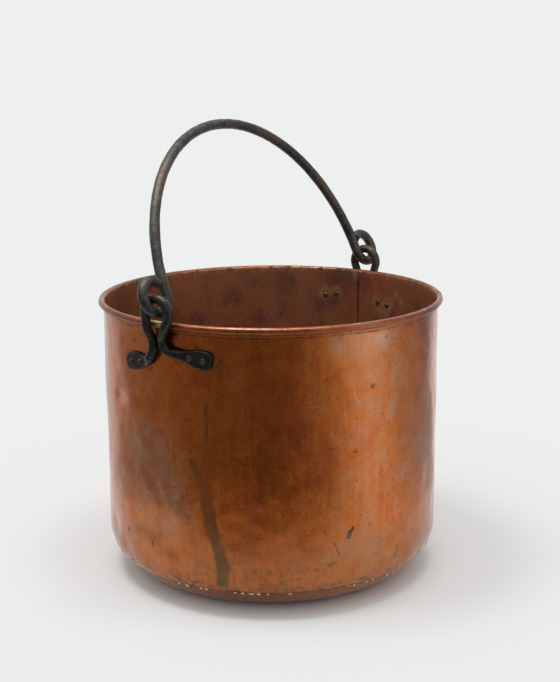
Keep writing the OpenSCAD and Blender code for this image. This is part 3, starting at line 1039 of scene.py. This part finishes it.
def sharpness(mesh):
    """0 on a hollow or a round rod and towards 1 on a sharp edge, from the mesh's own bend."""
    points = read_points(mesh)
    normals = read_normals(mesh)
    ends = np.empty(len(mesh.edges) * 2, np.int32)
    mesh.edges.foreach_get("vertices", ends)
    a, b = ends.reshape(-1, 2).T
    total = np.zeros_like(normals)
    count = np.zeros(len(points))
    for one, other in ((a, b), (b, a)):
        np.add.at(total, one, normals[other] - normals[one])
        np.add.at(count, one, 1)
    step = np.linalg.norm(points[a] - points[b], axis=1).mean()
    bend = np.zeros(len(points))
    for one, other in ((a, b), (b, a)):
        np.add.at(bend, one, ((normals[other] - normals[one]) * (points[other] - points[one])).sum(1))
    bend = bend / np.maximum(count, 1) / step**2
    return np.clip((bend - 180) / 500, 0, 1)


# The bail: its hinge line, its lean, the middle and the radius of its arch and its rods
HINGE_Z = 0.3008
LEAN = math.radians(23)
ARCH_X = 0.005511
ARCH_MID = 0.009378
ARCH_R = 0.169422
ROD_R = 0.0054
EYE_ROD_R = 0.0053
DRAWN_OVER = 0.008
# Side, distance from the arch's middle to the eye's, and radius of the eye
EYES = ((1, 0.185689, 0.0164), (-1, 0.185111, 0.0158))
# The cut tips: the face's turn, the gap to the arch, the room before the cut, and the rounding
# of the edge as distances short of the face and shares of the rod's size
TIP_FACE = math.radians(4)
TIP_GAP = 0.0005
TIP_ROOM = 0.0009
TIP_ROUNDING = ((0.0005, 1.0), (0.00012, 0.955), (0.0, 0.86), (0.0, 0.45))
# Length of a step along the rod, and points round it
STEP = 0.0012
SIDES = 32


def half_bail(middle_x, eye_r):
    """Rings of one half of the bail, from the top of the arch to the cut tip, in its own plane."""
    lean_in = math.atan2(eye_r - ARCH_MID, middle_x)
    arch = np.linspace(math.pi / 2, lean_in, int(ARCH_R * math.pi / 2 / STEP))
    curl = np.linspace(math.pi + lean_in, 3 * math.pi + lean_in - 0.2, int(TURN * eye_r / STEP))[1:]
    middles = [(ARCH_R * math.cos(t), ARCH_MID + ARCH_R * math.sin(t)) for t in arch]
    ways = [(math.sin(t), -math.cos(t)) for t in arch]
    radii = [ROD_R] * len(arch)
    middles += [(middle_x + eye_r * math.cos(t), eye_r + eye_r * math.sin(t)) for t in curl]
    ways += [(-math.sin(t), math.cos(t)) for t in curl]
    drawn = smooth(np.arange(len(curl)) * STEP / DRAWN_OVER)
    radii += list(ROD_R + (EYE_ROD_R - ROD_R) * drawn)
    around = np.arange(SIDES) * TURN / SIDES
    face = lean_in + TIP_FACE
    face_at = ARCH_R + ROD_R + TIP_GAP
    half_round = len(arch) + len(curl) // 2
    rings = []
    for (x, y), (wx, wy), radius in zip(middles, ways, radii):
        side = radius * np.cos(around)
        ring = np.stack([x - wy * side, y + wx * side, radius * np.sin(around)], -1)
        off = ring[:, 0] * math.cos(face) + (ring[:, 1] - ARCH_MID) * math.sin(face) - face_at
        if len(rings) > half_round and off.min() < TIP_ROOM:
            break
        rings.append(ring)
        last = (x, y, wx, wy, off, ring)
    x, y, wx, wy, off, ring = last
    slope = wx * math.cos(face) + wy * math.sin(face)
    middle = np.array([x, y, 0.0])
    way = np.array([wx, wy, 0.0])
    middle_off = x * math.cos(face) + (y - ARCH_MID) * math.sin(face) - face_at
    for short, share in TIP_ROUNDING:
        cut = ring + way * ((short - off) / slope)[:, None]
        cut_middle = middle + way * (short - middle_off) / slope
        rings.append(cut_middle + (cut - cut_middle) * share)
    return rings


def make_bail(iron):
    """One rod, bent to an arch and curled into an eye at each end."""
    right = half_bail(*EYES[0][1:])
    left = [ring * (-1, 1, 1) for ring in half_bail(*EYES[1][1:])]
    left = [np.roll(ring[::-1], SIDES // 2 + 1, axis=0) for ring in left]
    rings = np.array(left[:0:-1] + right)
    x, y, across = rings[..., 0], rings[..., 1], rings[..., 2]
    places = np.stack(
        [
            ARCH_X + x,
            EAR_Y + y * math.sin(LEAN) - across * math.cos(LEAN),
            HINGE_Z + y * math.cos(LEAN) + across * math.sin(LEAN),
        ],
        -1,
    )
    middles = places.mean(1, keepdims=True)
    flat = places.reshape(-1, 3)
    worn = 0.00006 * (1.4 - waves(flat, 0.014, 51)) + 0.00003 * (1.2 - waves(flat, 0.0045, 52))
    worn = worn + 0.00005 * (1 - waves(flat, 0.06, 53))
    worn = np.maximum(worn, 0).reshape(places.shape[:2])[..., None]
    away = places - middles
    long = np.linalg.norm(away, axis=-1, keepdims=True)
    places = middles + away * (1 - worn / np.maximum(long, 0.004))
    rows = len(places)
    mesh = bpy.data.meshes.new("bail_handle_forged")
    ids = np.arange(rows * SIDES).reshape(rows, SIDES)
    after = np.roll(ids, -1, axis=1)
    quads = np.stack([ids[:-1], ids[1:], after[1:], after[:-1]], -1).reshape(-1, 4).tolist()
    points = places.reshape(-1, 3).tolist() + [middles[0, 0].tolist(), middles[-1, 0].tolist()]
    caps = [(a, b, rows * SIDES) for a, b in zip(ids[0].tolist(), after[0].tolist())]
    caps += [(b, a, rows * SIDES + 1) for a, b in zip(ids[-1].tolist(), after[-1].tolist())]
    mesh.from_pydata(points, [], quads + caps)
    mesh.update()
    bail = add_object("bail_handle_forged", mesh)
    mend(mesh, outward=True)
    at = read_points(mesh)
    x, z = at[:, 0], at[:, 2]
    # Painted highlight: paler edges on the left part of the bail, below its top
    edge = sharpness(mesh) + 0.12 * smooth((0.02 - x) / 0.1) * smooth((0.46 - z) / 0.05)
    # Darker on the right and at the top, and painted shade on the near eye by the left hinge
    dark = 0.25 * smooth(x / 0.1) + 0.15 * smooth((z - 0.43) / 0.03)
    dark = dark + 0.5 * smooth((0.345 - z) / 0.025) * on_left(at)
    store(mesh, edge=edge, dark=dark)
    mesh.materials.append(iron)
    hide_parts("bail_handle")
    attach(bail, "bail")


# Node, voxel size, smoothing steps, depth of the hammer marks and of the fine ones, slot
FORGED = [
    ("left_ear", 0.00045, 8, 0.00006, 0.00003, "iron"),
    ("right_ear", 0.00048, 8, 0.00006, 0.00003, "iron"),
    ("left_ear_rivets", 0.00025, 4, 0.00002, 0.00001, "rivet"),
    ("right_ear_rivets", 0.00025, 4, 0.00002, 0.00001, "rivet"),
]


def make_forged_pieces():
    materials = {"iron": iron_material(), "rivet": rivet_material()}
    make_bail(materials["iron"])
    for node, voxel, smoothing, marks, fine, slot in FORGED:
        piece = forged_copy(node, node + "_forged", voxel, smoothing, marks, fine)
        if slot == "rivet":
            # Painted shade: the near ear's rivets darker
            dark = 0.05 + 0.5 * on_left(read_points(piece.data))
            piece.data.attributes["dark"].data.foreach_set("value", dark.astype(np.float32))
        piece.data.materials.append(materials[slot])
        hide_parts(node)
        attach(piece, "pot")


def make_pot():
    copper = copper_material()
    wall = make_wall()
    base = make_base()
    solder = make_solder()
    wall.data.materials.append(copper)
    base.data.materials.append(copper)
    solder.data.materials.append(solder_material())
    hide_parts("pot_body")
    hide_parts("base_pan")
    for piece in (wall, base, solder):
        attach(piece, "pot")
    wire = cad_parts["rim_wire"]
    wire.data.materials.clear()
    wire.data.materials.append(wire_material())


# Stage

BACKGROUND = srgb(238, 239, 239)
TO_CAMERA = Vector((CAMERA_AT.x, CAMERA_AT.y, 0)).normalized()
TO_RIGHT = Vector((-TO_CAMERA.y, TO_CAMERA.x, 0))


# Brightness of the studio round the horizon, as the pot mirrors it: degrees to the
# right of the camera, as seen from the pot, and level
STUDIO = [
    (-180, 0.86), (-152, 0.8), (-141, 0.66), (-121, 0.76), (-112, 0.48),
    (-104, 0.36), (-90, 0.32), (-75, 0.28), (-59, 0.24), (-41, 0.2),
    (-20, 0.18), (0, 0.17), (18, 0.22), (35, 0.46), (49, 0.76),
    (60, 0.95), (71, 0.94), (84, 0.62), (99, 0.48), (115, 0.38),
    (128, 0.4), (136, 0.82), (180, 0.86),
]


def studio_level(nodes):
    """The studio's brightness in the direction of the shaded place."""
    turned = nodes.math("ARCTAN2", nodes.along(TO_RIGHT), nodes.along(TO_CAMERA))
    share = nodes.total(nodes.math("DIVIDE", turned, TURN), 0.5)
    return nodes.ramp(share, [(degrees / 360 + 0.5, (level,) * 3) for degrees, level in STUDIO])


FLOOR_HALF = 30.0
FLOOR_COLOUR = (0.92, 0.92, 0.91)
# Distances from the pot over which the mirrored table ends
TABLE_END = (0.26, 0.52)


def make_floor():
    """A pale floor that takes the shadow near the pot and fades into the background.

    The copper mirrors it as a small table with the studio beyond.
    """
    mesh = bpy.data.meshes.new("floor")
    corners = [(x * FLOOR_HALF, y * FLOOR_HALF, 0) for x, y in ((-1, -1), (1, -1), (1, 1), (-1, 1))]
    mesh.from_pydata(corners, [], [(0, 1, 2, 3)])
    floor = add_object("floor", mesh)
    shade = Shade("pale_floor")
    white = shade.get(0, "ShaderNodeBsdfDiffuse", dict(Color=FLOOR_COLOUR))
    away = shade.get("Value", "ShaderNodeVectorMath", {0: shade.at}, operation="LENGTH")
    faded = shade.total(shade.span(away, 0.125, 0.2, 0.0, 0.42), shade.span(away, 0.2, 0.65, 0.0, 0.58))
    seen = shade.blend(faded, white, shade.glow(BACKGROUND))
    mirror = shade.node("ShaderNodeLightPath").outputs["Is Glossy Ray"]
    past_table = shade.times(mirror, shade.span(away, *TABLE_END))
    seen = shade.blend(past_table, seen, shade.glow(studio_level(shade)))
    shade.put(shade.tree.nodes["Material Output"], dict(Surface=seen))
    mesh.materials.append(shade.material)


WORLD_COLOUR = (0.42, 0.42, 0.42)
CEILING_COLOUR = (0.9, 0.9, 0.9)


def make_world():
    """A pale studio, darker on the camera's side; the camera itself sees it plain."""
    world = bpy.data.worlds.new("studio")
    world.use_nodes = True
    bpy.context.scene.world = world
    nodes = Nodes(world.node_tree, "Generated")
    upward = nodes.span(nodes.along(Vector((0, 0, 1))), 0.35, 0.9)
    mirrored = nodes.mix(upward, studio_level(nodes), CEILING_COLOUR)
    path = nodes.node("ShaderNodeLightPath").outputs
    mirror = nodes.most([path["Is Glossy Ray"], path["Is Transmission Ray"]])
    seen = nodes.mix(mirror, WORLD_COLOUR, mirrored)
    seen = nodes.mix(path["Is Camera Ray"], seen, BACKGROUND)
    nodes.put(nodes.tree.nodes["Background"], dict(Color=seen, Strength=1.0))


LAMP_SIDE = 0.55
LAMP_UP = 1.85
LAMP_AIM = Vector((0, 0, 0.15))


def soft_box(name, to_right, to_camera, radiance):
    """A square lamp above the pot that looks at it."""
    data = bpy.data.lights.new(name, "AREA")
    data.shape = "RECTANGLE"
    data.size = LAMP_SIDE
    data.size_y = LAMP_SIDE
    data.energy = radiance * math.pi * LAMP_SIDE * LAMP_SIDE
    lamp = bpy.data.objects.new(name, data)
    bpy.context.scene.collection.objects.link(lamp)
    lamp.location = LAMP_AIM + to_right * TO_RIGHT + to_camera * TO_CAMERA + Vector((0, 0, LAMP_UP))
    lamp.rotation_euler = (LAMP_AIM - lamp.location).to_track_quat("-Z", "Y").to_euler()


def make_lights():
    soft_box("left_box", -0.54, 0.15, 14.5)
    soft_box("right_box", 0.25, 0.20, 10.0)


make_camera()
make_world()
make_lights()
make_floor()
make_pot()
make_forged_pieces()
